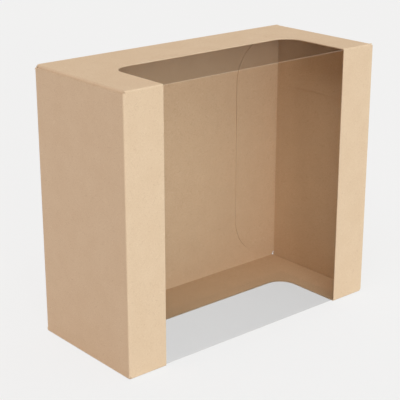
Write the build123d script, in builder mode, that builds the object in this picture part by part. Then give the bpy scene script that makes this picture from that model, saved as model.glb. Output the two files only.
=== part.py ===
"""Window carton: one folded kraft-board blank with a clear wrap-round window and two tuck-in ends.

Millimetres. The origin is at the bottom centre, +Z is up, the window's front faces -Y
and the two end panels close the tube at -X and +X.
"""

import math
import os

from build123d import *

# Outer size of the closed carton
width = 200.0
depth = 88.0
height = 173.0

# Board and its folds
board = 0.6
fold_inside = 0.4
corner_slit = 0.15
corner_round = 1.0

# Window, one cut through the top, front and bottom panels
post_width = 27.5
window_depth = 50.5
window_corner = 13.0

# Clear film glued behind the window
film = 0.2
film_crease = 0.5
film_margin = 9.0

# Glued seam along the top of the back panel
glue_flap = 15.0
glue_gap = 0.6
glue_taper = 4.0
seam_setback = 0.5

# Dust flaps folded down from the top panel's ends
dust_length = 41.0
dust_fold_inside = 1.6
dust_gap = 1.0
dust_slope = 10.0
dust_corner = 8.0

# End panels
end_gap = 0.2
end_top_inset = 1.6
end_bottom_inset = 0.4
ear_corner = 0.8

# Tuck flaps
tuck_length = 39.0
tuck_corner = 30.0
tuck_slope = 15.0
tuck_shoulder = 3.0
tuck_slit = 0.4
tuck_gap = 0.15

# Round relief at each end of the back panel's two long folds
corner_relief = 0.8

# Places that follow from the sizes above
half_width = width / 2
front = -depth / 2
back = depth / 2
outer_fold = fold_inside + board
tube_half = half_width - board - end_gap
window_half = half_width - post_width
film_back = front + window_depth + film_margin
hinge_line = front + outer_fold
tuck_face = back - board - tuck_gap
tuck_line = tuck_face - outer_fold
tuck_tip = half_width - tuck_length
tuck_low_corner = tuck_shoulder + tuck_length * math.tan(math.radians(tuck_slope))
dust_fold = dust_fold_inside + board
dust_start = tube_half - dust_fold
dust_front = hinge_line + corner_slit
dust_back = tuck_face - board - dust_gap
dust_tip = height - dust_length
dust_narrowing = (dust_length - dust_fold) * math.tan(math.radians(dust_slope))
glue_end = dust_start - glue_gap


def bent_strip(corners, thickness, radius):
    """Section of a sheet that follows the corners, with its thickness on their left."""
    with BuildSketch() as section:
        with BuildLine():
            FilletPolyline(*corners, radius=radius)
            offset(amount=thickness, side=Side.LEFT)
        make_face()
    return section.sketch


# Right dust flap: it hangs from the top panel's round end fold, inside the end panel
with BuildPart() as dust_flap:
    with BuildSketch(Plane.XZ.offset(-dust_back)):
        panel_root = (dust_start - dust_fold, height)
        add(bent_strip([(tube_half, dust_tip), (tube_half, height), panel_root], board, dust_fold))
    extrude(amount=dust_back - dust_front)
    with BuildSketch(Plane.YZ.offset(dust_start - dust_fold)) as dust_outline:
        with BuildLine():
            Polyline(
                (dust_front, height),
                (dust_front, height - dust_fold),
                (dust_front + dust_narrowing, dust_tip),
                (dust_back - dust_narrowing, dust_tip),
                (dust_back, height - dust_fold),
                (dust_back, height),
                close=True,
            )
        make_face()
        fillet(dust_outline.vertices().group_by(Axis.Y)[0], dust_corner)
    extrude(amount=2 * dust_fold, mode=Mode.INTERSECT)

# Carton body, right half: a tube of top, front, bottom and back panels, closed by the glue flap
with BuildPart() as carton_body:
    with BuildSketch(Plane.YZ):
        top_edge = (back - seam_setback, height)
        back_middle = (back, height / 2)
        tube_corners = [top_edge, (front, height), (front, 0), (back, 0), back_middle]
        flap_corners = [back_middle, (back, height - board), (back - glue_flap, height - board)]
        add(bent_strip(tube_corners, board, outer_fold))
        add(bent_strip(flap_corners, board, outer_fold))
    extrude(amount=tube_half)

    # One window through top, front and bottom, with round corners at the rear
    with BuildSketch() as window:
        with Locations((0, front)):
            Rectangle(2 * window_half, 2 * window_depth)
        fillet(window.vertices(), window_corner)
    extrude(amount=height, mode=Mode.SUBTRACT)

    # The front post ends where its fold towards the end panel starts
    with BuildSketch(Plane.XY.offset(outer_fold)):
        with Locations((half_width, front)):
            Rectangle(2 * outer_fold, 2 * outer_fold)
    extrude(amount=height - 2 * outer_fold, mode=Mode.SUBTRACT)

    # Round corner at the end of each of the two front folds
    with BuildSketch(Plane.XY, Plane.XY.offset(height - outer_fold)):
        with Locations((tube_half, front)):
            Rectangle(2 * corner_round, 2 * corner_round)
        with Locations((tube_half - corner_round, front + corner_round)):
            Circle(corner_round, mode=Mode.SUBTRACT)
    extrude(amount=outer_fold, mode=Mode.SUBTRACT)

    # Rounded upright fold that carries the end panel
    with BuildSketch(Plane.XY.offset(outer_fold + corner_slit)):
        with BuildLine():
            CenterArc((half_width - outer_fold, hinge_line), outer_fold, -90, 90)
            offset(amount=board, side=Side.LEFT)
        make_face()
    extrude(amount=height - 2 * (outer_fold + corner_slit))

    # The top panel ends where the dust flap's fold starts, and a slit parts the flap from the front fold
    with BuildSketch(Plane.XY.offset(height)):
        with Locations((dust_start, hinge_line)):
            Rectangle(dust_fold, back - hinge_line, align=(Align.MIN, Align.MIN))
    extrude(amount=-board, mode=Mode.SUBTRACT)
    add(dust_flap.part)

    # The glue flap's end tapers from the slit and clears the dust flap
    with BuildSketch(Plane.XY.offset(height - board)):
        with BuildLine():
            Polyline(
                (glue_end, dust_back + corner_slit),
                (glue_end - glue_taper, back - glue_flap),
                (tube_half, back - glue_flap),
                (tube_half, dust_back + corner_slit),
                close=True,
            )
        make_face()
    extrude(amount=-board, mode=Mode.SUBTRACT)

    # Relief where the back panel's long folds run out
    with BuildSketch(Plane.XZ.offset(-back)):
        with Locations((tube_half, corner_relief), (tube_half, height - board - corner_relief)):
            Circle(corner_relief)
    extrude(amount=outer_fold, mode=Mode.SUBTRACT)

    # Left half
    mirror(about=Plane.YZ)

# Clear film: one creased sheet that lines the window from the inside
with BuildPart() as window_film:
    with BuildSketch(Plane.YZ):
        film_front = front + board
        film_top = height - board
        film_corners = [(film_back, film_top), (film_front, film_top), (film_front, board), (film_back, board)]
        add(bent_strip(film_corners, film, film_crease))
    extrude(amount=window_half + film_margin, both=True)

# Right end panel: a flat plate with a small ear above and below the tuck flap's fold
with BuildPart() as right_end_panel:
    with BuildSketch(Plane.YZ.offset(half_width)) as panel_outline:
        with Locations((hinge_line, end_bottom_inset)):
            panel_height = height - end_top_inset - end_bottom_inset
            Rectangle(tuck_face - hinge_line, panel_height, align=(Align.MIN, Align.MIN))
        fillet(panel_outline.vertices().group_by(Axis.Y)[-1], ear_corner)
        with Locations((tuck_face, height / 2)):
            Rectangle(2 * outer_fold, height - 2 * (tuck_shoulder - tuck_slit), mode=Mode.SUBTRACT)
    extrude(amount=-board)

# Right tuck flap: the end panel's rear fold and the round-shouldered flap inside the back panel
with BuildPart() as right_tuck_flap:
    with BuildSketch():
        with BuildLine():
            tuck_fold = CenterArc((half_width - outer_fold, tuck_line), outer_fold, 0, 90)
            Line(tuck_fold @ 1, (tuck_tip, tuck_face))
            offset(amount=board, side=Side.LEFT)
        make_face()
    extrude(amount=height)
    with BuildSketch(Plane.XZ) as flap_outline:
        with BuildLine():
            Polyline(
                (half_width, tuck_shoulder),
                (tuck_tip, tuck_low_corner),
                (tuck_tip, height - tuck_low_corner),
                (half_width, height - tuck_shoulder),
                close=True,
            )
        make_face()
        fillet(flap_outline.vertices().group_by(Axis.X)[0], tuck_corner)
    extrude(amount=depth, both=True, mode=Mode.INTERSECT)

# The left end mirrors the right one
with BuildPart() as left_end_panel:
    mirror(right_end_panel.part, about=Plane.YZ)

with BuildPart() as left_tuck_flap:
    mirror(right_tuck_flap.part, about=Plane.YZ)

pieces = {
    "carton_body": carton_body,
    "window_film": window_film,
    "right_end_panel": right_end_panel,
    "right_tuck_flap": right_tuck_flap,
    "left_end_panel": left_end_panel,
    "left_tuck_flap": left_tuck_flap,
}
os.makedirs("parts", exist_ok=True)
for name, piece in pieces.items():
    piece.part.label = name
    export_step(piece.part, f"parts/{name}.step")
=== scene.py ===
"""Looks of the window carton: folded kraft board, clear window film and a plain studio.

Metres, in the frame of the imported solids: +Z is up, the window's front faces -Y, and the
two end panels close the tube at -X and +X.
"""

import logging
import math
from dataclasses import dataclass
from enum import Enum, IntEnum

import bmesh
import bpy
from mathutils import Color, Matrix, Vector


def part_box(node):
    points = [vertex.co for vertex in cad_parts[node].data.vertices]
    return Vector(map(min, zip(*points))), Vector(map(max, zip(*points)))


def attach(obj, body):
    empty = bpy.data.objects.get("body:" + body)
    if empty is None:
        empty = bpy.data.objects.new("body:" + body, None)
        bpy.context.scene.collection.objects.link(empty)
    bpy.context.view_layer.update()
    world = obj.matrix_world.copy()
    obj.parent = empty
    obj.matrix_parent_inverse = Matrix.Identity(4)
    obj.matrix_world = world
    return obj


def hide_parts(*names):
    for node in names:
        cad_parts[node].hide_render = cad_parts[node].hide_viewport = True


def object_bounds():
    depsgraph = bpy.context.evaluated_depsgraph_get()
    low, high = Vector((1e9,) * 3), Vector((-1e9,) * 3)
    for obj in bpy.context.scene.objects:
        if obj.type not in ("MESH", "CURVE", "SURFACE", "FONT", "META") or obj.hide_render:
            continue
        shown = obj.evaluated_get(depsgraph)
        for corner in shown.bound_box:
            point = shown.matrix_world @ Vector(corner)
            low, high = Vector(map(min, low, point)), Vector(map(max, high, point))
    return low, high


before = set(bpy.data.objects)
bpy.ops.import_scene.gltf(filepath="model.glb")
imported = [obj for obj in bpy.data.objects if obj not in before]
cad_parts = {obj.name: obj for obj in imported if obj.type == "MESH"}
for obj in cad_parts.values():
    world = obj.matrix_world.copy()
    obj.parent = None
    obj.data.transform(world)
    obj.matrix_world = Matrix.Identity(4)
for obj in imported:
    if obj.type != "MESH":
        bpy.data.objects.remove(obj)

LOG = logging.getLogger("window_carton")
SOLID_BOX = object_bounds()
MM = 0.001

# Places nearer than this are one point, and a cut this near to a line lies on it
TOUCH = 1e-6
ON_LINE = 10 * TOUCH

# Roundings: steps of a fold's and of a wide corner's arc, and the softened cut edges
ARC_STEPS = 8
WIDE_ARC_STEPS = 2 * ARC_STEPS
CUT_STEPS = 2
CUT_PROFILE = 0.5
SHARP_ANGLE = math.radians(50)

# Sockets of the Mix node that carry colours, which share their names with others
MIX_FIRST, MIX_SECOND, MIX_RESULT = 6, 7, 2
SCREEN_WHITE = 255

Point2 = tuple[float, float]
Point3 = tuple[float, float, float]
Colour = tuple[float, float, float, float]
FULL_RANGE: Point2 = (0.0, 1.0)
NO_LIGHT: Point3 = (0.0, 0.0, 0.0)


class Side(Enum):
    """The carton's two ends, by the sign of their X."""

    LEFT = -1
    RIGHT = 1

    @property
    def word(self) -> str:
        """The end's name as the solids write it."""
        return self.name.lower()

    @property
    def turned(self) -> bool:
        """True where faces drawn for the right end run the other way round."""
        return self is Side.LEFT

    def place(self, x: float, y: float, z: float) -> Point3:
        """A point of the right half, carried over to this side."""
        return (self.value * x, y, z)


class Look(Enum):
    """Which of a sheet's finishes a face takes, by its place in the sheet's material list."""

    FACE = 0
    EDGE = 1
    INSIDE = 2
    CREASE = 3
    GLUED = 4


class SheetLine(IntEnum):
    """The tube's lengthwise lines, counted inwards from either end of the sheet."""

    CUT_END = 0
    POST_FOLD = 1
    DUST_FOLD = 2
    GLUE_END = 3
    WINDOW_SIDE = 4


def paint(red: int, green: int, blue: int) -> Colour:
    """Turns a screen colour into the linear one that a shader takes.

    Args:
        red: Screen red, 0 to 255.
        green: Screen green, 0 to 255.
        blue: Screen blue, 0 to 255.

    Returns:
        Linear red, green, blue and a full alpha.
    """
    screen = Color([channel / SCREEN_WHITE for channel in (red, green, blue)])
    linear = screen.from_srgb_to_scene_linear()
    return (linear.r, linear.g, linear.b, 1.0)


def grey(level: float) -> Colour:
    """A linear grey with a full alpha."""
    return (level, level, level, 1.0)


def arc(
    centre: Point2, radius: float, start: float, end: float, steps: int = ARC_STEPS
) -> list[Point2]:
    """Points along a circular arc, both ends included.

    Args:
        centre: Middle of the circle.
        radius: Radius in metres.
        start: First angle in degrees.
        end: Last angle in degrees.
        steps: Number of straight steps.

    Returns:
        The points from start to end.
    """
    points = []
    for step in range(steps + 1):
        angle = math.radians(start + (end - start) * step / steps)
        x, y = radius * math.cos(angle), radius * math.sin(angle)
        points.append((centre[0] + x, centre[1] + y))
    return points


def corner_run(radius: float, slope: float) -> float:
    """How far a round corner reaches along its sides.

    Args:
        radius: The corner's radius.
        slope: Angle in degrees by which one side leans away from the square.

    Returns:
        Distance from the corner's point to where the round starts.
    """
    return radius / math.tan(math.radians((90 + slope) / 2))


@dataclass(frozen=True)
class CartonSizes:
    """Sizes of the closed carton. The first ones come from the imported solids."""

    width: float
    depth: float
    height: float
    board: float
    fold: float
    hinge_line: float
    film_half: float
    film_back: float
    tuck_tip: float
    tuck_face: float
    film_margin: float = 9.0 * MM
    film_thickness: float = 0.2 * MM
    film_crease: float = 0.5 * MM
    window_corner: float = 13.0 * MM
    end_gap: float = 0.2 * MM
    end_top_inset: float = 1.6 * MM
    end_bottom_inset: float = 0.4 * MM
    ear_corner: float = 0.8 * MM
    corner_slit: float = 0.15 * MM
    corner_round: float = 1.0 * MM
    corner_relief: float = 0.8 * MM
    dust_length: float = 41.0 * MM
    dust_fold: float = 2.2 * MM
    dust_gap: float = 1.0 * MM
    dust_slope: float = 10.0
    dust_corner: float = 8.0 * MM
    glue_flap: float = 15.0 * MM
    glue_gap: float = 0.6 * MM
    glue_taper: float = 4.0 * MM
    glue_line: float = 0.04 * MM
    seam_setback: float = 0.5 * MM
    top_ear: float = 1.4 * MM
    top_ear_corner: float = 1.2 * MM
    tuck_corner: float = 30.0 * MM
    tuck_slope: float = 15.0
    tuck_shoulder: float = 3.0 * MM
    tuck_slit: float = 0.4 * MM
    cut_softness: float = 0.09 * MM
    film_softness: float = 0.02 * MM

    @classmethod
    def from_frame(cls) -> "CartonSizes":
        """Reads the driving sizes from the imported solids.

        Returns:
            The sizes, with the usual values for all that the solids' boxes don't tell.
        """
        low, high = SOLID_BOX
        panel_low, panel_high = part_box("right_end_panel")
        film_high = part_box("window_film")[1]
        tuck_low, tuck_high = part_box("right_tuck_flap")
        return cls(
            width=high[0] - low[0],
            depth=high[1] - low[1],
            height=high[2] - low[2],
            board=panel_high[0] - panel_low[0],
            fold=panel_low[1] - low[1],
            hinge_line=panel_low[1],
            film_half=film_high[0],
            film_back=film_high[1],
            tuck_tip=tuck_low[0],
            tuck_face=tuck_high[1],
        )

    @property
    def front(self) -> float:
        """Y of the front panel's outer face."""
        return -self.depth / 2

    @property
    def back(self) -> float:
        """Y of the back panel's outer face."""
        return self.depth / 2

    @property
    def half_width(self) -> float:
        """X of the right end panel's outer face."""
        return self.width / 2

    @property
    def fold_start(self) -> float:
        """X at which the front post starts to turn towards the end panel."""
        return self.half_width - self.fold

    @property
    def post_low(self) -> float:
        """Z at which the front post's upright fold starts."""
        return self.fold + self.corner_slit

    @property
    def post_high(self) -> float:
        """Z at which the front post's upright fold ends."""
        return self.height - self.fold - self.corner_slit

    @property
    def tube_half(self) -> float:
        """X at which the top, bottom and back panels end."""
        return self.half_width - self.board - self.end_gap

    @property
    def seam(self) -> float:
        """Z of what is glued under the top panel."""
        return self.height - self.board - self.glue_line

    @property
    def dust_start(self) -> float:
        """X at which the top panel starts to turn down into the dust flap."""
        return self.tube_half - self.dust_fold

    @property
    def dust_front(self) -> float:
        """Y of the dust flap's front edge at its fold."""
        return self.hinge_line + self.corner_slit

    @property
    def dust_back(self) -> float:
        """Y of the dust flap's rear edge at its fold."""
        return self.tuck_face - self.board - self.dust_gap

    @property
    def slit_back(self) -> float:
        """Y of the slit's far side, behind the dust flap."""
        return self.dust_back + self.corner_slit

    @property
    def top_rear(self) -> float:
        """Y of the top panel's rear edge, at the glued seam."""
        return self.back - self.seam_setback

    @property
    def window_half(self) -> float:
        """Half the window's width."""
        return self.film_half - self.film_margin

    @property
    def window_rear(self) -> float:
        """Y of the window's rear edge in the top and bottom panels."""
        return self.film_back - self.film_margin

    @property
    def corner_middle(self) -> Point2:
        """X and Y of the middle of the window's right rear corner."""
        return (self.window_half - self.window_corner, self.window_rear - self.window_corner)

    def window_round(self) -> list[Point2]:
        """X and Y along the window's right rear corner, from its side to its rear edge."""
        return arc(self.corner_middle, self.window_corner, 0, 90, WIDE_ARC_STEPS)


class SheetMesh:
    """A folded sheet: its outer face is gathered in polygons and then given its thickness."""

    def __init__(self) -> None:
        """Starts with no faces."""
        self.places: dict[tuple[int, int, int], int] = {}
        self.points: list[Point3] = []
        self.fold_shares: list[float] = []
        self.faces: list[list[int]] = []
        self.looks: list[Look] = []

    @staticmethod
    def key(place: Point3) -> tuple[int, int, int]:
        """The place in whole steps, the same for points that fall together."""
        return (round(place[0] / TOUCH), round(place[1] / TOUCH), round(place[2] / TOUCH))

    def point(self, place: Point3) -> int:
        """Finds the sheet's point at a place, or makes it.

        Args:
            place: Where the point is.

        Returns:
            The point's number.
        """
        key = self.key(place)
        if key not in self.places:
            self.places[key] = len(self.points)
            self.points.append(place)
            self.fold_shares.append(0.0)
        return self.places[key]

    def face(self, corners: list[Point3], look: Look = Look.FACE, turned: bool = False) -> None:
        """Adds one polygon, or nothing where its corners fall together.

        Args:
            corners: Its corners, anticlockwise seen from outside.
            look: The finish it takes.
            turned: True if the corners run the other way round, as on a mirrored sheet.
        """
        numbers = list(dict.fromkeys(self.point(corner) for corner in corners))
        if len(numbers) < 3:
            return
        if turned:
            numbers.reverse()
        self.faces.append(numbers)
        self.looks.append(look)

    def mark_fold(self, places: list[Point3]) -> None:
        """Marks those of the sheet's points that lie on a fold, for the wear along it.

        Args:
            places: Places on the fold. Those without a point are passed over.
        """
        for place in places:
            number = self.places.get(self.key(place))
            if number is not None:
                self.fold_shares[number] = 1.0

    def build(
        self,
        name: str,
        thickness: float,
        softness: float,
        inside: Look,
        sharp_line: float | None = None,
    ) -> bpy.types.Object:
        """Makes the solid sheet.

        Args:
            name: Name of the piece.
            thickness: The sheet's thickness, laid on the inside of the gathered face.
            softness: How far the cut edges are rounded.
            inside: Finish of the inner side, or FACE where it is that of the outer side.
            sharp_line: Y of a cut that stays sharp because the next sheet continues it.

        Returns:
            The new object, linked to the scene.
        """
        mesh = bpy.data.meshes.new(name)
        mesh.from_pydata(self.points, [], self.faces)
        for polygon, look in zip(mesh.polygons, self.looks):
            polygon.material_index = look.value
        fold = mesh.attributes.new("fold", "FLOAT", "POINT")
        fold.data.foreach_set("value", self.fold_shares)
        piece = bpy.data.objects.new(name, mesh)
        bpy.context.scene.collection.objects.link(piece)
        for _ in Look:
            mesh.materials.append(None)

        thick = piece.modifiers.new("thickness", "SOLIDIFY")
        thick.thickness = thickness
        thick.offset = -1.0
        thick.use_even_offset = True
        thick.use_quality_normals = True
        thick.material_offset = inside.value
        thick.material_offset_rim = Look.EDGE.value
        solid = piece.evaluated_get(bpy.context.evaluated_depsgraph_get())
        shaped = bpy.data.meshes.new_from_object(solid)
        piece.modifiers.clear()

        self.soften(shaped, softness, sharp_line)
        shaped.name = name
        piece.data = shaped
        bpy.data.meshes.remove(mesh)
        for polygon in shaped.polygons:
            polygon.use_smooth = True
        shaped.set_sharp_from_angle(angle=SHARP_ANGLE)
        even = piece.modifiers.new("even_shading", "WEIGHTED_NORMAL")
        even.keep_sharp = True
        return piece

    @staticmethod
    def soften(mesh: bpy.types.Mesh, softness: float, sharp_line: float | None) -> None:
        """Rounds the cut edges of a sheet.

        Args:
            mesh: The sheet, whose cut faces carry the edge finish.
            softness: Width of the rounding.
            sharp_line: Y of a cut that stays sharp, or None.
        """
        shape = bmesh.new()
        shape.from_mesh(mesh)
        cuts = []
        for edge in shape.edges:
            looks = {face.material_index for face in edge.link_faces}
            if Look.EDGE.value not in looks or len(looks) < 2:
                continue
            ends = [corner.co.y for corner in edge.verts]
            if sharp_line is not None and all(abs(y - sharp_line) < ON_LINE for y in ends):
                continue
            cuts.append(edge)
        bmesh.ops.bevel(
            shape,
            geom=cuts,
            offset=softness,
            segments=CUT_STEPS,
            profile=CUT_PROFILE,
            affect="EDGES",
        )
        shape.to_mesh(mesh)
        shape.free()


class NodeTree:
    """Small helper that adds nodes to a tree and wires them."""

    def __init__(self, tree: bpy.types.NodeTree) -> None:
        """Keeps the tree that is being filled."""
        self.tree = tree

    def add(self, kind: str, **settings: object) -> bpy.types.Node:
        """Adds a node.

        Args:
            kind: The node's type name.
            settings: Values for the node's own properties.

        Returns:
            The new node.
        """
        node = self.tree.nodes.new(kind)
        for name, value in settings.items():
            setattr(node, name, value)
        return node

    def wire(self, source: bpy.types.NodeSocket, target: bpy.types.NodeSocket) -> None:
        """Links one socket to another."""
        self.tree.links.new(source, target)

    def feed(self, target: bpy.types.NodeSocket, value: object) -> None:
        """Gives an input its value.

        Args:
            target: The input.
            value: A socket to link, or a number, vector or colour to set.
        """
        if isinstance(value, bpy.types.NodeSocket):
            self.wire(value, target)
        else:
            target.default_value = value

    def maths(
        self, operation: str, first: object, second: object, clamp: bool = False
    ) -> bpy.types.NodeSocket:
        """Adds a Math node on two sockets or numbers.

        Args:
            operation: The node's operation.
            first: A socket or a number.
            second: A socket or a number.
            clamp: True to keep the result between 0 and 1.

        Returns:
            The result's socket.
        """
        node = self.add("ShaderNodeMath", operation=operation, use_clamp=clamp)
        self.feed(node.inputs[0], first)
        self.feed(node.inputs[1], second)
        return node.outputs[0]

    def vectors(self, operation: str, *values: object) -> bpy.types.NodeSocket:
        """Adds a Vector Math node.

        Args:
            operation: The node's operation.
            values: A socket or a vector for each of its inputs.

        Returns:
            The result's socket.
        """
        node = self.add("ShaderNodeVectorMath", operation=operation)
        for target, value in zip(node.inputs, values):
            self.feed(target, value)
        return node.outputs[0]

    def ramp(
        self, value: bpy.types.NodeSocket, span: Point2, result: Point2 = FULL_RANGE
    ) -> bpy.types.NodeSocket:
        """Maps a value from one range to another and holds it there.

        Args:
            value: The value's socket.
            span: Values that give the first and the last result.
            result: First and last result.

        Returns:
            The mapped value's socket.
        """
        node = self.add("ShaderNodeMapRange", clamp=True)
        self.wire(value, node.inputs["Value"])
        node.inputs["From Min"].default_value, node.inputs["From Max"].default_value = span
        node.inputs["To Min"].default_value, node.inputs["To Max"].default_value = result
        return node.outputs["Result"]

    def blend(self, share: object, first: object, second: object) -> bpy.types.NodeSocket:
        """Mixes two colours.

        Args:
            share: Socket or number, 0 for the first colour and 1 for the second.
            first: A colour or its socket.
            second: A colour or its socket.

        Returns:
            The mixed colour's socket.
        """
        node = self.add("ShaderNodeMix", data_type="RGBA")
        self.feed(node.inputs["Factor"], share)
        self.feed(node.inputs[MIX_FIRST], first)
        self.feed(node.inputs[MIX_SECOND], second)
        return node.outputs[MIX_RESULT]

    def noise(self, place: bpy.types.NodeSocket, size: float, detail: float) -> bpy.types.Node:
        """Adds a noise texture.

        Args:
            place: Socket of the place that it works on.
            size: Size of its largest blots, in the units of the place.
            detail: How many finer layers it has.

        Returns:
            The new node.
        """
        node = self.add("ShaderNodeTexNoise")
        self.wire(place, node.inputs["Vector"])
        node.inputs["Scale"].default_value = 1 / size
        node.inputs["Detail"].default_value = detail
        return node

    def effect(self, group: bpy.types.NodeTree, label: str, value: float) -> bpy.types.Node:
        """Places a shared effect, which works on the piece's own coordinates.

        Args:
            group: The effect's node group.
            label: Name of the group's number input.
            value: This finish's value for that input.

        Returns:
            The effect's node.
        """
        node = self.add("ShaderNodeGroup", node_tree=group)
        node.inputs[label].default_value = value
        self.wire(self.add("ShaderNodeTexCoord").outputs["Object"], node.inputs["Place"])
        return node

    def bump(
        self, height: bpy.types.NodeSocket, distance: float, strength: float
    ) -> bpy.types.NodeSocket:
        """Adds fine relief.

        Args:
            height: Socket of the relief's height, 0 to 1.
            distance: What a height of 1 stands for.
            strength: Share of the relief that shows.

        Returns:
            The normal's socket.
        """
        node = self.add("ShaderNodeBump")
        node.inputs["Strength"].default_value = strength
        node.inputs["Distance"].default_value = distance
        self.wire(height, node.inputs["Height"])
        return node.outputs["Normal"]


def new_group(
    name: str, number: str, outputs: list[str]
) -> tuple[NodeTree, bpy.types.Node, bpy.types.Node]:
    """Starts a shader node group that works on a place on the sheet.

    Args:
        name: The group's name.
        number: Its number input, besides the place.
        outputs: Its number outputs.

    Returns:
        The group's tree, its input node and its output node.
    """
    group = bpy.data.node_groups.new(name, "ShaderNodeTree")
    group.interface.new_socket("Place", in_out="INPUT", socket_type="NodeSocketVector")
    socket = group.interface.new_socket(number, in_out="INPUT", socket_type="NodeSocketFloat")
    socket.default_value = 1.0
    for label in outputs:
        group.interface.new_socket(label, in_out="OUTPUT", socket_type="NodeSocketFloat")
    nodes = NodeTree(group)
    return nodes, nodes.add("NodeGroupInput"), nodes.add("NodeGroupOutput")


def new_material(name: str) -> tuple[bpy.types.Material, NodeTree, bpy.types.Node]:
    """Starts a material.

    Args:
        name: The material's name.

    Returns:
        The material, its tree and its Principled shader.
    """
    material = bpy.data.materials.new(name)
    material.use_nodes = True
    return material, NodeTree(material.node_tree), material.node_tree.nodes["Principled BSDF"]


@dataclass(frozen=True)
class PaperFibres:
    """Kraft pulp seen close: cloudy mottling, and short curled fibres that lie every way."""

    name: str = "kraft_fibres"
    fibre_length: float = 2.6 * MM
    fibre_width: float = 0.36 * MM
    fibre_detail: float = 1.0
    dark_span: Point2 = (0.36, 0.26)
    pale_span: Point2 = (0.64, 0.74)
    curl: float = 5.0 * MM
    curl_reach: float = 4.0 * MM
    lie: Point3 = (0.5, 0.9, 0.35)
    cloud: float = 14.0 * MM
    cloud_detail: float = 5.0
    cloud_roughness: float = 0.6
    cloud_span: Point2 = (0.3, 0.7)
    tooth: float = 0.45 * MM
    tooth_detail: float = 3.0
    fibre_rise: float = 0.5

    def group(self) -> bpy.types.NodeTree:
        """Builds the node group.

        Returns:
            The new group, or the one that is already there.
        """
        if self.name in bpy.data.node_groups:
            return bpy.data.node_groups[self.name]
        outputs = ["Cloud", "Dark", "Pale", "Tooth"]
        nodes, given, result = new_group(self.name, "Fineness", outputs)
        place = nodes.vectors("MULTIPLY", given.outputs["Place"], given.outputs["Fineness"])

        cloud = nodes.noise(given.outputs["Place"], self.cloud, self.cloud_detail)
        cloud.inputs["Roughness"].default_value = self.cloud_roughness
        nodes.wire(nodes.ramp(cloud.outputs["Fac"], self.cloud_span), result.inputs["Cloud"])

        bends = nodes.noise(place, self.curl, detail=0.0)
        reach = [self.curl_reach] * 3
        curled = nodes.vectors("MULTIPLY_ADD", bends.outputs["Color"], reach, place)
        lying = nodes.add("ShaderNodeVectorRotate", rotation_type="EULER_XYZ")
        lying.inputs["Rotation"].default_value = self.lie
        nodes.wire(curled, lying.inputs["Vector"])

        dark, pale = None, None
        for axis in range(3):
            scale = [1 / self.fibre_width] * 3
            scale[axis] = 1 / self.fibre_length
            drawn = nodes.vectors("MULTIPLY", lying.outputs[0], scale)
            strands = nodes.noise(drawn, 1.0, self.fibre_detail).outputs["Fac"]
            low = nodes.ramp(strands, self.dark_span)
            high = nodes.ramp(strands, self.pale_span)
            dark = low if dark is None else nodes.maths("MAXIMUM", dark, low)
            pale = high if pale is None else nodes.maths("MAXIMUM", pale, high)
        nodes.wire(dark, result.inputs["Dark"])
        nodes.wire(pale, result.inputs["Pale"])

        tooth = nodes.noise(place, self.tooth, self.tooth_detail)
        raised = nodes.maths("MULTIPLY", pale, self.fibre_rise)
        nodes.wire(nodes.maths("ADD", tooth.outputs["Fac"], raised), result.inputs["Tooth"])
        return nodes.tree


@dataclass(frozen=True)
class KraftBoard:
    """Uncoated kraft board: the sheet's faces, or its cut edges, by the values given."""

    name: str
    colour: Colour
    cloud_colour: Colour
    dark_fibre: Colour
    pale_fibre: Colour
    cloud_share: float
    fibre_share: float
    fineness: float
    fold_wear: float
    bump: float
    specular: float = 0.18
    roughness: Point2 = (0.82, 0.92)
    grain_height: float = 0.03 * MM

    def material(self) -> bpy.types.Material:
        """Builds the material.

        Returns:
            A Principled material whose colour, roughness and normal come from the fibres.
        """
        material, nodes, shader = new_material(self.name)
        shader.inputs["Specular IOR Level"].default_value = self.specular
        fibres = nodes.effect(PaperFibres().group(), "Fineness", self.fineness).outputs

        cloud = nodes.maths("MULTIPLY", fibres["Cloud"], self.cloud_share)
        dark = nodes.maths("MULTIPLY", fibres["Dark"], self.fibre_share)
        pale = nodes.maths("MULTIPLY", fibres["Pale"], self.fibre_share)
        tone = nodes.blend(cloud, self.colour, self.cloud_colour)
        tone = nodes.blend(dark, tone, self.dark_fibre)
        tone = nodes.blend(pale, tone, self.pale_fibre)
        fold = nodes.add("ShaderNodeAttribute", attribute_name="fold")
        rubbed = nodes.maths("MULTIPLY", fold.outputs["Fac"], fibres["Tooth"])
        rubbed = nodes.maths("MULTIPLY", rubbed, self.fold_wear, clamp=True)
        nodes.wire(nodes.blend(rubbed, tone, self.pale_fibre), shader.inputs["Base Color"])
        rough = nodes.ramp(fibres["Cloud"], FULL_RANGE, self.roughness)
        nodes.wire(rough, shader.inputs["Roughness"])
        grain = nodes.bump(fibres["Tooth"], self.grain_height, self.bump)
        nodes.wire(grain, shader.inputs["Normal"])
        return material


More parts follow.
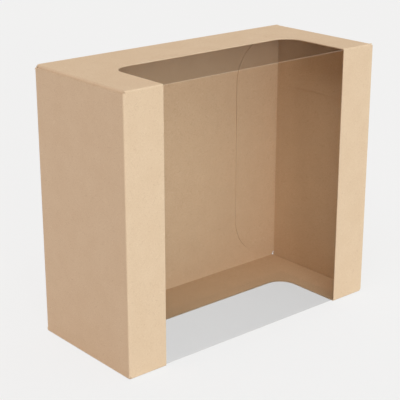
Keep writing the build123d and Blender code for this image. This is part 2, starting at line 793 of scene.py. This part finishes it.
@dataclass(frozen=True)
class FilmScuffs:
    """What handling leaves on clear film: faint streaks and a very slight ripple."""

    name: str = "film_scuffs"
    streak_length: float = 40.0 * MM
    streak_width: float = 1.2 * MM
    streak_detail: float = 2.0
    streak_span: Point2 = (0.55, 0.8)
    ripple: float = 35.0 * MM
    ripple_detail: float = 1.0

    def group(self) -> bpy.types.NodeTree:
        """Builds the node group.

        Returns:
            The new group, or the one that is already there.
        """
        if self.name in bpy.data.node_groups:
            return bpy.data.node_groups[self.name]
        nodes, given, result = new_group(self.name, "Amount", ["Streak", "Ripple"])
        lengthwise = 1 / self.streak_length
        scale = (1 / self.streak_width, lengthwise, lengthwise)
        drawn = nodes.vectors("MULTIPLY", given.outputs["Place"], scale)
        streaks = nodes.noise(drawn, 1.0, self.streak_detail)
        streak = nodes.ramp(streaks.outputs["Fac"], self.streak_span)
        shown = nodes.maths("MULTIPLY", streak, given.outputs["Amount"])
        nodes.wire(shown, result.inputs["Streak"])
        waves = nodes.noise(given.outputs["Place"], self.ripple, self.ripple_detail)
        nodes.wire(waves.outputs["Fac"], result.inputs["Ripple"])
        return nodes.tree


@dataclass(frozen=True)
class ClearFilm:
    """Clear film that shows more of itself the flatter it is looked across."""

    name: str
    colour: Colour
    least: float
    across: float
    steepness: float
    scuffs: float
    roughness: float
    ior: float = 1.02
    facing_blend: float = 0.5
    streak_share: float = 0.02
    streak_roughness: float = 2.5
    ripple_height: float = 0.05 * MM

    def material(self) -> bpy.types.Material:
        """Builds the material.

        Returns:
            A Principled material whose alpha rises towards grazing angles.
        """
        material, nodes, shader = new_material(self.name)
        shader.inputs["Base Color"].default_value = self.colour
        shader.inputs["IOR"].default_value = self.ior
        scuffs = nodes.effect(FilmScuffs().group(), "Amount", self.scuffs).outputs

        facing = nodes.add("ShaderNodeLayerWeight")
        facing.inputs["Blend"].default_value = self.facing_blend
        flat = nodes.maths("POWER", facing.outputs["Facing"], self.steepness)
        shown = nodes.maths("ADD", nodes.maths("MULTIPLY", flat, self.across), self.least)
        streaks = nodes.maths("MULTIPLY", scuffs["Streak"], self.streak_share)
        marked = nodes.maths("ADD", shown, streaks, clamp=True)
        nodes.wire(marked, shader.inputs["Alpha"])
        spread = (self.roughness, self.streak_roughness * self.roughness)
        rough = nodes.ramp(scuffs["Streak"], FULL_RANGE, spread)
        nodes.wire(rough, shader.inputs["Roughness"])
        wave = nodes.bump(scuffs["Ripple"], self.ripple_height, 1.0)
        nodes.wire(wave, shader.inputs["Normal"])
        return material


BOARD_FACE = KraftBoard(
    name="kraft_board_face",
    colour=paint(227, 202, 172),
    cloud_colour=paint(221, 194, 163),
    dark_fibre=paint(186, 152, 118),
    pale_fibre=paint(243, 224, 199),
    cloud_share=0.6,
    fibre_share=0.34,
    fineness=1.0,
    fold_wear=0.12,
    bump=0.35,
)
# The inner side is a darker, warmer board: partly the board's own duller inner side, partly
# painted shade for the inside of the carton.
BOARD_INSIDE_SHADED = KraftBoard(
    name="kraft_board_inside_shaded",
    colour=paint(215, 186, 153),
    cloud_colour=paint(208, 178, 145),
    dark_fibre=paint(171, 134, 99),
    pale_fibre=paint(229, 206, 178),
    cloud_share=0.6,
    fibre_share=0.38,
    fineness=0.9,
    fold_wear=0.0,
    bump=0.45,
)
BOARD_CUT = KraftBoard(
    name="kraft_board_cut",
    colour=paint(231, 208, 179),
    cloud_colour=paint(217, 190, 158),
    dark_fibre=paint(180, 146, 112),
    pale_fibre=paint(246, 230, 207),
    cloud_share=0.7,
    fibre_share=0.5,
    fineness=2.2,
    fold_wear=0.0,
    bump=0.6,
)
# The film's near-black colour shows more the flatter the film is seen. It darkens the floor under
# the carton and the back wall seen through the top window: partly the film's own tint, partly
# painted shade.
FILM_FACE_SHADED = ClearFilm(
    name="clear_film_face_shaded",
    colour=paint(16, 12, 8),
    least=0.002,
    across=0.38,
    steepness=2.4,
    scuffs=0.3,
    roughness=0.06,
)
# Pale, near-white film along the two front creases: a painted highlight, a light line where the
# film bends.
FILM_CREASE_HIGHLIGHT = ClearFilm(
    name="clear_film_crease_highlight",
    colour=paint(246, 240, 231),
    least=0.03,
    across=0.1,
    steepness=1.5,
    scuffs=0.5,
    roughness=0.22,
)
FILM_GLUED = ClearFilm(
    name="clear_film_glued",
    colour=paint(214, 190, 160),
    least=0.002,
    across=0.0,
    steepness=1.0,
    scuffs=0.0,
    roughness=0.3,
)


@dataclass
class FoldedPiece:
    """What the carton's pieces share: their sizes, their finishes and the window's corners."""

    sizes: CartonSizes
    looks: dict[Look, bpy.types.Material]

    def window_corner(
        self, sheet: SheetMesh, side: Side, level: float, outer: Look, inner: Look | None = None
    ) -> None:
        """Adds one round corner at the window's rear edge.

        Args:
            sheet: The sheet being gathered.
            side: The end that the corner is nearer to.
            level: Z of the sheet's outer face.
            outer: Finish outside the round.
            inner: Finish within the round, or None where the sheet is cut out.
        """
        s = self.sizes
        turned = side.turned == (level > s.height / 2)
        edge = s.window_round()
        if inner is not None:
            wedge = [s.corner_middle, *edge]
            sheet.face([side.place(x, y, level) for x, y in wedge], inner, turned)
        for first, second in zip(edge, edge[1:]):
            fan = [(s.window_half, s.window_rear), second, first]
            sheet.face([side.place(x, y, level) for x, y in fan], outer, turned)

    def dress(self, piece: bpy.types.Object) -> None:
        """Gives each finish of a piece its material."""
        for look, material in self.looks.items():
            piece.data.materials[look.value] = material

    def hand_over(self, piece: bpy.types.Object, body: str, slot: str, nodes: list[str]) -> None:
        """Puts a finished piece in the place of the solids that it stands for.

        Args:
            piece: The new piece.
            body: The body it moves with.
            slot: Not used.
            nodes: The solids it replaces.
        """
        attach(piece, body)
        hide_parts(*nodes)
        LOG.info("%s rides on %s: %d faces", piece.name, body, len(piece.data.polygons))


@dataclass(frozen=True)
class SectionMarks:
    """Numbers of the section's points at which the tube's cut-outs start and end."""

    dust_flap: int
    top_window: int
    front_fold: int
    post_top: int
    post_bottom: int
    bottom_window: int
    glue_flap: int

    def outer_line(self, number: int) -> SheetLine:
        """Line at which the sheet ends between one point of the section and the next.

        Args:
            number: The first point's number.

        Returns:
            The line, on either half of the sheet.
        """
        if number < self.front_fold:
            return SheetLine.DUST_FOLD
        if self.post_top <= number < self.post_bottom:
            return SheetLine.POST_FOLD
        return SheetLine.GLUE_END if number >= self.glue_flap else SheetLine.CUT_END


@dataclass
class CartonTube(FoldedPiece):
    """Top, front posts, bottom, back, glue flap and dust flaps, one sheet round the window."""

    name: str = "carton_sheet"
    relief_steps: int = 8

    def section(self) -> tuple[list[Point2], SectionMarks]:
        """Outline of the tube in Y and Z, from the top's rear edge round to the glue flap.

        Returns:
            The points, and the numbers of those at which the cut-outs start and end.
        """
        s = self.sizes
        corner_rear = s.corner_middle[1]
        points = [(y, s.height) for y in (s.top_rear, s.slit_back, s.dust_back)]
        top_window = len(points)
        points += [(y, s.height) for y in (s.window_rear, corner_rear, s.dust_front)]
        front_fold = len(points)
        points += arc((s.front + s.fold, s.height - s.fold), s.fold, 90, 180)
        post_top = len(points) - 1
        points += [(s.front, s.post_high), (s.front, s.post_low)]
        post_bottom = len(points)
        points += arc((s.front + s.fold, s.fold), s.fold, 180, 270)
        points += [(corner_rear, 0.0), (s.window_rear, 0.0)]
        bottom_window = len(points) - 1
        points += arc((s.back - s.fold, s.fold), s.fold, 270, 360)
        span = 2 * s.corner_relief - s.fold
        steps = [span * (n + 1) / self.relief_steps for n in range(self.relief_steps)]
        points += [(s.back, s.fold + step) for step in steps]
        points += [(s.back, s.seam - s.fold - step) for step in reversed(steps)]
        points += arc((s.back - s.fold, s.seam - s.fold), s.fold, 0, 90)
        glue_flap = len(points)
        points += [(s.slit_back, s.seam), (s.back - s.glue_flap, s.seam)]
        marks = SectionMarks(
            dust_flap=top_window - 1,
            top_window=top_window,
            front_fold=front_fold,
            post_top=post_top,
            post_bottom=post_bottom,
            bottom_window=bottom_window,
            glue_flap=glue_flap,
        )
        return points, marks

    def end_edge(self, place: Point2) -> float:
        """X at which the sheet ends, drawn in by the round corners of its four long folds.

        Args:
            place: Y and Z of a point of the section.

        Returns:
            The distance of the cut end from the middle.
        """
        s = self.sizes
        if place[0] < s.back - s.fold - TOUCH:
            fall = max(s.front + s.corner_round - place[0], 0.0)
            if min(place[1], s.height - place[1]) > s.fold + TOUCH:
                return s.tube_half
            kept = math.sqrt(max(s.corner_round**2 - fall**2, 0.0))
            return s.tube_half - s.corner_round + kept
        reach = 0.0
        for middle in (s.corner_relief, s.height - s.board - s.corner_relief):
            rest = s.corner_relief**2 - (place[1] - middle) ** 2
            reach = max(reach, math.sqrt(max(rest, 0.0)))
        return s.tube_half - reach

    def columns(self, place: Point2, taper: float) -> list[float]:
        """X of the sheet's lines at one point of the section, from left to right.

        Args:
            place: Y and Z of the point.
            taper: How far the line that bounds the glue flap is drawn in here.

        Returns:
            The lines of both halves.
        """
        s = self.sizes
        end = self.end_edge(place)
        glue_end = s.dust_start - s.glue_gap - taper
        turn = s.fold_start if end - s.fold_start > s.corner_slit else end
        right = [s.corner_middle[0], s.window_half, glue_end, s.dust_start, turn, end]
        return [-x for x in reversed(right)] + right

    def build(self) -> bpy.types.Object:
        """Builds the tube and dresses it.

        Returns:
            The finished piece.
        """
        s = self.sizes
        sheet = SheetMesh()
        points, marks = self.section()
        tapers = [0.0] * (len(points) - 1) + [s.glue_taper]
        rows = [
            [(x, y, z) for x in self.columns((y, z), taper)]
            for (y, z), taper in zip(points, tapers)
        ]
        strips = len(rows[0]) - 1
        corners = {
            SheetLine.WINDOW_SIDE: Side.LEFT,
            strips - 1 - SheetLine.WINDOW_SIDE: Side.RIGHT,
        }
        for i, (row, after) in enumerate(zip(rows, rows[1:])):
            in_window = marks.top_window <= i < marks.bottom_window
            in_corner = i in (marks.top_window, marks.bottom_window - 1)
            outer = marks.outer_line(i)
            for j in range(outer, strips - outer):
                if not in_window or not min(corners) <= j <= max(corners):
                    sheet.face([row[j], after[j], after[j + 1], row[j + 1]])
                elif in_corner and j in corners:
                    self.window_corner(sheet, corners[j], points[i][1], Look.FACE)
        dust_rows = [y for y, _ in points[marks.dust_flap : marks.front_fold]]
        for side in Side:
            self.post_fold(sheet, side)
            self.dust_flap(sheet, side, dust_rows)
            self.top_ear(sheet, side)
        for row, place in zip(rows, points):
            if self.on_fold(place):
                sheet.mark_fold(row)
        piece = sheet.build(self.name, s.board, s.cut_softness, Look.INSIDE, s.hinge_line)
        self.dress(piece)
        self.hand_over(piece, "carton", "kraft_board", ["carton_body"])
        return piece

    def on_fold(self, place: Point2) -> bool:
        """Tells whether a point of the section lies on the round of a fold.

        Args:
            place: Y and Z of the point.

        Returns:
            True if it does.
        """
        s = self.sizes
        near_side = min(place[0] - s.front, s.back - place[0]) < s.fold
        return near_side and min(place[1], s.height - place[1]) < s.fold

    def post_fold(self, sheet: SheetMesh, side: Side) -> None:
        """Adds the upright round that joins a front post to its end panel.

        Args:
            sheet: The sheet being gathered.
            side: The end it belongs to.
        """
        s = self.sizes
        low, high = s.post_low, s.post_high
        turn = arc((s.fold_start, s.front + s.fold), s.fold, -90, 0)
        for first, second in zip(turn, turn[1:]):
            quad = [(*first, high), (*first, low), (*second, low), (*second, high)]
            quad = [side.place(*corner) for corner in quad]
            sheet.face(quad, turned=side.turned)
            sheet.mark_fold(quad)

    def top_ear(self, sheet: SheetMesh, side: Side) -> None:
        """Adds the small round ear that the top panel keeps behind the dust flap's fold.

        Args:
            sheet: The sheet being gathered.
            side: The end it belongs to.
        """
        s = self.sizes
        tip, corner = s.dust_start + s.top_ear, s.top_ear_corner
        outline = [(s.dust_start, s.top_rear), (s.dust_start, s.slit_back), (tip, s.slit_back)]
        outline += arc((tip - corner, s.top_rear - corner), corner, 0, 90)
        sheet.face([side.place(x, y, s.height) for x, y in outline], turned=side.turned)

    def dust_flap(self, sheet: SheetMesh, side: Side, rows: list[float]) -> None:
        """Adds the dust flap that hangs from the top panel's end by a round fold.

        Args:
            sheet: The sheet being gathered.
            side: The end it belongs to.
            rows: Y of the top panel's points along the flap's fold, from the rear.
        """
        s = self.sizes
        turn = arc((s.dust_start, s.height - s.dust_fold), s.dust_fold, 90, 0)
        for (x, z), (next_x, next_z) in zip(turn, turn[1:]):
            for rear, fore in zip(rows, rows[1:]):
                quad = [(x, rear, z), (x, fore, z), (next_x, fore, next_z), (next_x, rear, next_z)]
                quad = [side.place(*corner) for corner in quad]
                sheet.face(quad, turned=side.turned)
                sheet.mark_fold(quad)
        flap_x, flap_top = turn[-1]
        narrowing = (s.dust_length - s.dust_fold) * math.tan(math.radians(s.dust_slope))
        inset = narrowing + corner_run(s.dust_corner, s.dust_slope)
        low = s.height - s.dust_length + s.dust_corner
        outline = arc((rows[-1] + inset, low), s.dust_corner, 180 + s.dust_slope, 270)
        outline += arc((rows[0] - inset, low), s.dust_corner, 270, 360 - s.dust_slope)
        outline += [(y, flap_top) for y in rows]
        sheet.face([side.place(flap_x, y, z) for y, z in outline], turned=side.turned)


@dataclass
class EndClosure(FoldedPiece):
    """An end panel and the tuck flap folded from its rear edge, as one sheet."""

    side: Side

    def tuck_low(self, x: float) -> float:
        """Z of the tuck flap's sloping lower edge."""
        s = self.sizes
        return s.tuck_shoulder + (s.half_width - x) * math.tan(math.radians(s.tuck_slope))

    def panel(self, sheet: SheetMesh) -> None:
        """Adds the flat panel with the two ears beside the tuck flap's fold.

        Args:
            sheet: The sheet being gathered.
        """
        s = self.sizes
        turned = self.side.turned
        tuck_line = s.tuck_face - s.fold
        ear = s.tuck_shoulder - s.tuck_slit
        levels = [s.end_bottom_inset, ear, s.tuck_shoulder]
        levels += [s.height - z for z in (s.tuck_shoulder, ear, s.end_top_inset)]
        for low, high in zip(levels, levels[1:]):
            quad = [(s.hinge_line, low), (tuck_line, low), (tuck_line, high), (s.hinge_line, high)]
            sheet.face([self.side.place(s.half_width, y, z) for y, z in quad], turned=turned)
        for inset, upper in ((s.end_bottom_inset, False), (s.end_top_inset, True)):
            middle = (s.tuck_face - s.ear_corner, inset + s.ear_corner)
            round_ear = arc(middle, s.ear_corner, -90, 0)
            outline = [(tuck_line, inset), *round_ear, (s.tuck_face, ear), (tuck_line, ear)]
            if upper:
                outline = [(y, s.height - z) for y, z in outline]
            corners = [self.side.place(s.half_width, y, z) for y, z in outline]
            sheet.face(corners, turned=turned != upper)

    def tuck(self, sheet: SheetMesh) -> None:
        """Adds the tuck flap's fold and the flap with its two large round corners.

        Args:
            sheet: The sheet being gathered.
        """
        s = self.sizes
        turn = arc((s.half_width - s.fold, s.tuck_face - s.fold), s.fold, 0, 90)
        for first, second in zip(turn, turn[1:]):
            low, next_low = self.tuck_low(first[0]), self.tuck_low(second[0])
            quad = [(*first, low), (*second, next_low)]
            quad += [(*second, s.height - next_low), (*first, s.height - low)]
            quad = [self.side.place(*corner) for corner in quad]
            sheet.face(quad, turned=self.side.turned)
            sheet.mark_fold(quad)
        run = corner_run(s.tuck_corner, s.tuck_slope)
        middle = (s.tuck_tip + s.tuck_corner, self.tuck_low(s.tuck_tip) + run)
        round_low = arc(middle, s.tuck_corner, 270 - s.tuck_slope, 180, WIDE_ARC_STEPS)
        start = turn[-1][0]
        lower = [(start, self.tuck_low(start)), *round_low]
        outline = lower + [(x, s.height - z) for x, z in reversed(lower)]
        corners = [self.side.place(x, s.tuck_face, z) for x, z in outline]
        sheet.face(corners, turned=self.side.turned)

    def build(self) -> bpy.types.Object:
        """Builds the end and dresses it.

        Returns:
            The finished piece.
        """
        s = self.sizes
        word = self.side.word
        sheet = SheetMesh()
        self.panel(sheet)
        self.tuck(sheet)
        name = f"{word}_end_sheet"
        piece = sheet.build(name, s.board, s.cut_softness, Look.INSIDE, s.hinge_line)
        self.dress(piece)
        solids = [f"{word}_end_panel", f"{word}_tuck_flap"]
        self.hand_over(piece, f"{word}_end", "kraft_board", solids)
        return piece


@dataclass
class WindowFilm(FoldedPiece):
    """One sheet of clear film that lines the window, creased at the two front folds."""

    name: str = "film_patch"

    def section(self) -> list[Point2]:
        """Line of the film in Y and Z, from the top's rear edge round the two creases.

        Returns:
            The points along the line.
        """
        s = self.sizes
        front = s.front + s.board + s.glue_line
        low, high = s.board + s.glue_line, s.seam
        turn = s.film_crease
        flat = [s.film_back, s.window_rear, s.corner_middle[1]]
        points = [(y, high) for y in flat]
        points += arc((front + turn, high - turn), turn, 90, 180)
        points += arc((front + turn, low + turn), turn, 180, 270)
        return points + [(y, low) for y in reversed(flat)]

    def build(self) -> bpy.types.Object:
        """Builds the film and dresses it.

        Returns:
            The finished piece.
        """
        s = self.sizes
        points = self.section()
        inner = s.corner_middle[0]
        columns = [-s.film_half, -s.window_half, -inner, inner, s.window_half, s.film_half]
        sheet = SheetMesh()
        for near, far in zip(points, points[1:]):
            rear = max(near[0], far[0])
            bent = min(abs(far[0] - near[0]), abs(far[1] - near[1])) > TOUCH
            behind_board = rear > s.window_rear + TOUCH
            in_corner = not behind_board and rear > s.window_rear - TOUCH
            for left, right in zip(columns, columns[1:]):
                reach = max(-left, right)
                glued = behind_board or reach > s.window_half + TOUCH
                if in_corner and not glued and reach > inner + TOUCH:
                    side = Side.RIGHT if right > inner else Side.LEFT
                    self.window_corner(sheet, side, near[1], Look.GLUED, Look.FACE)
                    continue
                # The bent strips at the two front creases take the pale crease film, a painted
                # highlight.
                look = Look.GLUED if glued else Look.CREASE if bent else Look.FACE
                quad = [(left, *near), (left, *far), (right, *far), (right, *near)]
                sheet.face(quad, look)
        piece = sheet.build(self.name, s.film_thickness, s.film_softness, Look.FACE)
        self.dress(piece)
        self.hand_over(piece, "carton", "clear_film", ["window_film"])
        return piece


@dataclass(frozen=True)
class SoftLamp:
    """A large soft lamp far away, turned from the front towards the right and raised."""

    name: str
    turn: float
    rise: float
    spread: float
    strength: Point3

    def build(self) -> None:
        """Hangs the lamp."""
        light = bpy.data.lights.new(self.name, "SUN")
        light.energy = max(self.strength)
        light.color = [value / light.energy for value in self.strength]
        light.angle = math.radians(self.spread)
        turn, rise = math.radians(self.turn), math.radians(self.rise)
        level = math.cos(rise)
        way = Vector((math.sin(turn) * level, -math.cos(turn) * level, math.sin(rise)))
        lamp = bpy.data.objects.new(self.name, light)
        lamp.rotation_euler = way.to_track_quat("Z", "Y").to_euler()
        bpy.context.scene.collection.objects.link(lamp)


@dataclass(frozen=True)
class Studio:
    """Pale floor, soft light and the camera at the photograph's viewing angle."""

    floor_colour: Colour = paint(238, 238, 238)
    floor_reach: float = 6.0
    floor_gap: float = 0.25 * MM
    floor_glow: float = 0.911
    glow_share: float = 0.85
    backdrop: float = 0.888
    even_light: Point3 = (0.499, 0.47, 0.445)
    light_from_right: Point3 = (0.439, 0.512, 0.521)
    light_from_front: Point3 = (0.034, 0.134, 0.171)
    lamps: tuple[SoftLamp, ...] = (
        SoftLamp("key_light", -20.0, 7.0, 12.0, (1.01, 0.993, 0.987)),
        SoftLamp("fill_light", -60.0, 60.0, 45.0, (1.137, 1.116, 1.074)),
    )
    eye: Point3 = (-0.452522, -0.523138, 0.319111)
    look: Point3 = (0.610629, 0.719886, -0.329994)
    rightward: Point3 = (0.762529, -0.646954, -0.000334)
    lens: float = 102.38
    sensor: float = 36.0
    nearest: float = 0.01

    def seen_directly(self, nodes: NodeTree) -> bpy.types.NodeSocket:
        """Adds a value that is 1 for what the camera sees, also in a mirror or through glass.

        Args:
            nodes: The tree to add it to.

        Returns:
            The value's socket.
        """
        path = nodes.add("ShaderNodeLightPath").outputs
        seen = nodes.maths("MAXIMUM", path["Is Camera Ray"], path["Is Glossy Ray"])
        return nodes.maths("MAXIMUM", seen, path["Is Transmission Ray"])

    def floor(self) -> None:
        """Lays the floor, which keeps the carton's shadow."""
        reach, level = self.floor_reach, -self.floor_gap
        ring = [(-reach, -reach), (reach, -reach), (reach, reach), (-reach, reach)]
        mesh = bpy.data.meshes.new("floor")
        mesh.from_pydata([(x, y, level) for x, y in ring], [], [range(len(ring))])
        floor = bpy.data.objects.new("floor", mesh)
        bpy.context.scene.collection.objects.link(floor)
        material, nodes, shader = new_material("pale_floor")
        shader.inputs["Base Color"].default_value = self.floor_colour
        shader.inputs["Roughness"].default_value = 1.0
        shader.inputs["Specular IOR Level"].default_value = 0.0
        glow = nodes.add("ShaderNodeEmission")
        glow.inputs["Color"].default_value = grey(self.floor_glow)
        mix = nodes.add("ShaderNodeMixShader")
        share = nodes.maths("MULTIPLY", self.seen_directly(nodes), self.glow_share)
        nodes.wire(share, mix.inputs["Fac"])
        nodes.wire(shader.outputs[0], mix.inputs[1])
        nodes.wire(glow.outputs[0], mix.inputs[2])
        output = material.node_tree.nodes["Material Output"]
        nodes.wire(mix.outputs[0], output.inputs["Surface"])
        mesh.materials.append(material)

    def light(self) -> None:
        """Sets a soft light from all round, stronger from the front and the right, and lamps."""
        world = bpy.data.worlds.new("studio")
        world.use_nodes = True
        bpy.context.scene.world = world
        nodes = NodeTree(world.node_tree)
        way = nodes.add("ShaderNodeSeparateXYZ")
        nodes.wire(nodes.add("ShaderNodeTexCoord").outputs["Generated"], way.inputs[0])
        from_rear = [-value for value in self.light_from_front]
        right = nodes.vectors("MULTIPLY", self.light_from_right, way.outputs["X"])
        rear = nodes.vectors("MULTIPLY", from_rear, way.outputs["Y"])
        total = nodes.vectors("ADD", self.even_light, nodes.vectors("ADD", right, rear))
        light = nodes.vectors("MAXIMUM", total, NO_LIGHT)
        shown = nodes.blend(self.seen_directly(nodes), light, grey(self.backdrop))
        nodes.wire(shown, world.node_tree.nodes["Background"].inputs["Color"])
        for lamp in self.lamps:
            lamp.build()

    def camera(self) -> None:
        """Stands the camera where the photograph was taken from."""
        lens = bpy.data.cameras.new("camera")
        lens.sensor_width = self.sensor
        lens.lens = self.lens
        lens.clip_start = self.nearest
        camera = bpy.data.objects.new("camera", lens)
        across = Vector(self.rightward).normalized()
        ahead = Vector(self.look).normalized()
        upward = across.cross(ahead)
        turn = Matrix((across, upward, -ahead)).transposed().to_4x4()
        camera.matrix_world = Matrix.Translation(self.eye) @ turn
        bpy.context.scene.collection.objects.link(camera)
        bpy.context.scene.camera = camera

    def build(self) -> None:
        """Builds the camera, the floor and the light."""
        bpy.context.scene.view_settings.view_transform = "Standard"
        self.camera()
        self.floor()
        self.light()
        LOG.info("studio: floor, light and camera are set")


def main() -> None:
    """Builds the carton's pieces and the studio round them."""
    logging.basicConfig(level=logging.INFO, format="%(name)s: %(message)s")
    Studio().build()
    sizes = CartonSizes.from_frame()
    board = {
        Look.FACE: BOARD_FACE.material(),
        Look.EDGE: BOARD_CUT.material(),
        Look.INSIDE: BOARD_INSIDE_SHADED.material(),
    }
    CartonTube(sizes, board).build()
    clear = FILM_FACE_SHADED.material()
    film = {
        Look.FACE: clear,
        Look.EDGE: clear,
        Look.CREASE: FILM_CREASE_HIGHLIGHT.material(),
        Look.GLUED: FILM_GLUED.material(),
    }
    WindowFilm(sizes, film).build()
    for side in Side:
        EndClosure(sizes, board, side).build()


if __name__ == "__main__":
    main()
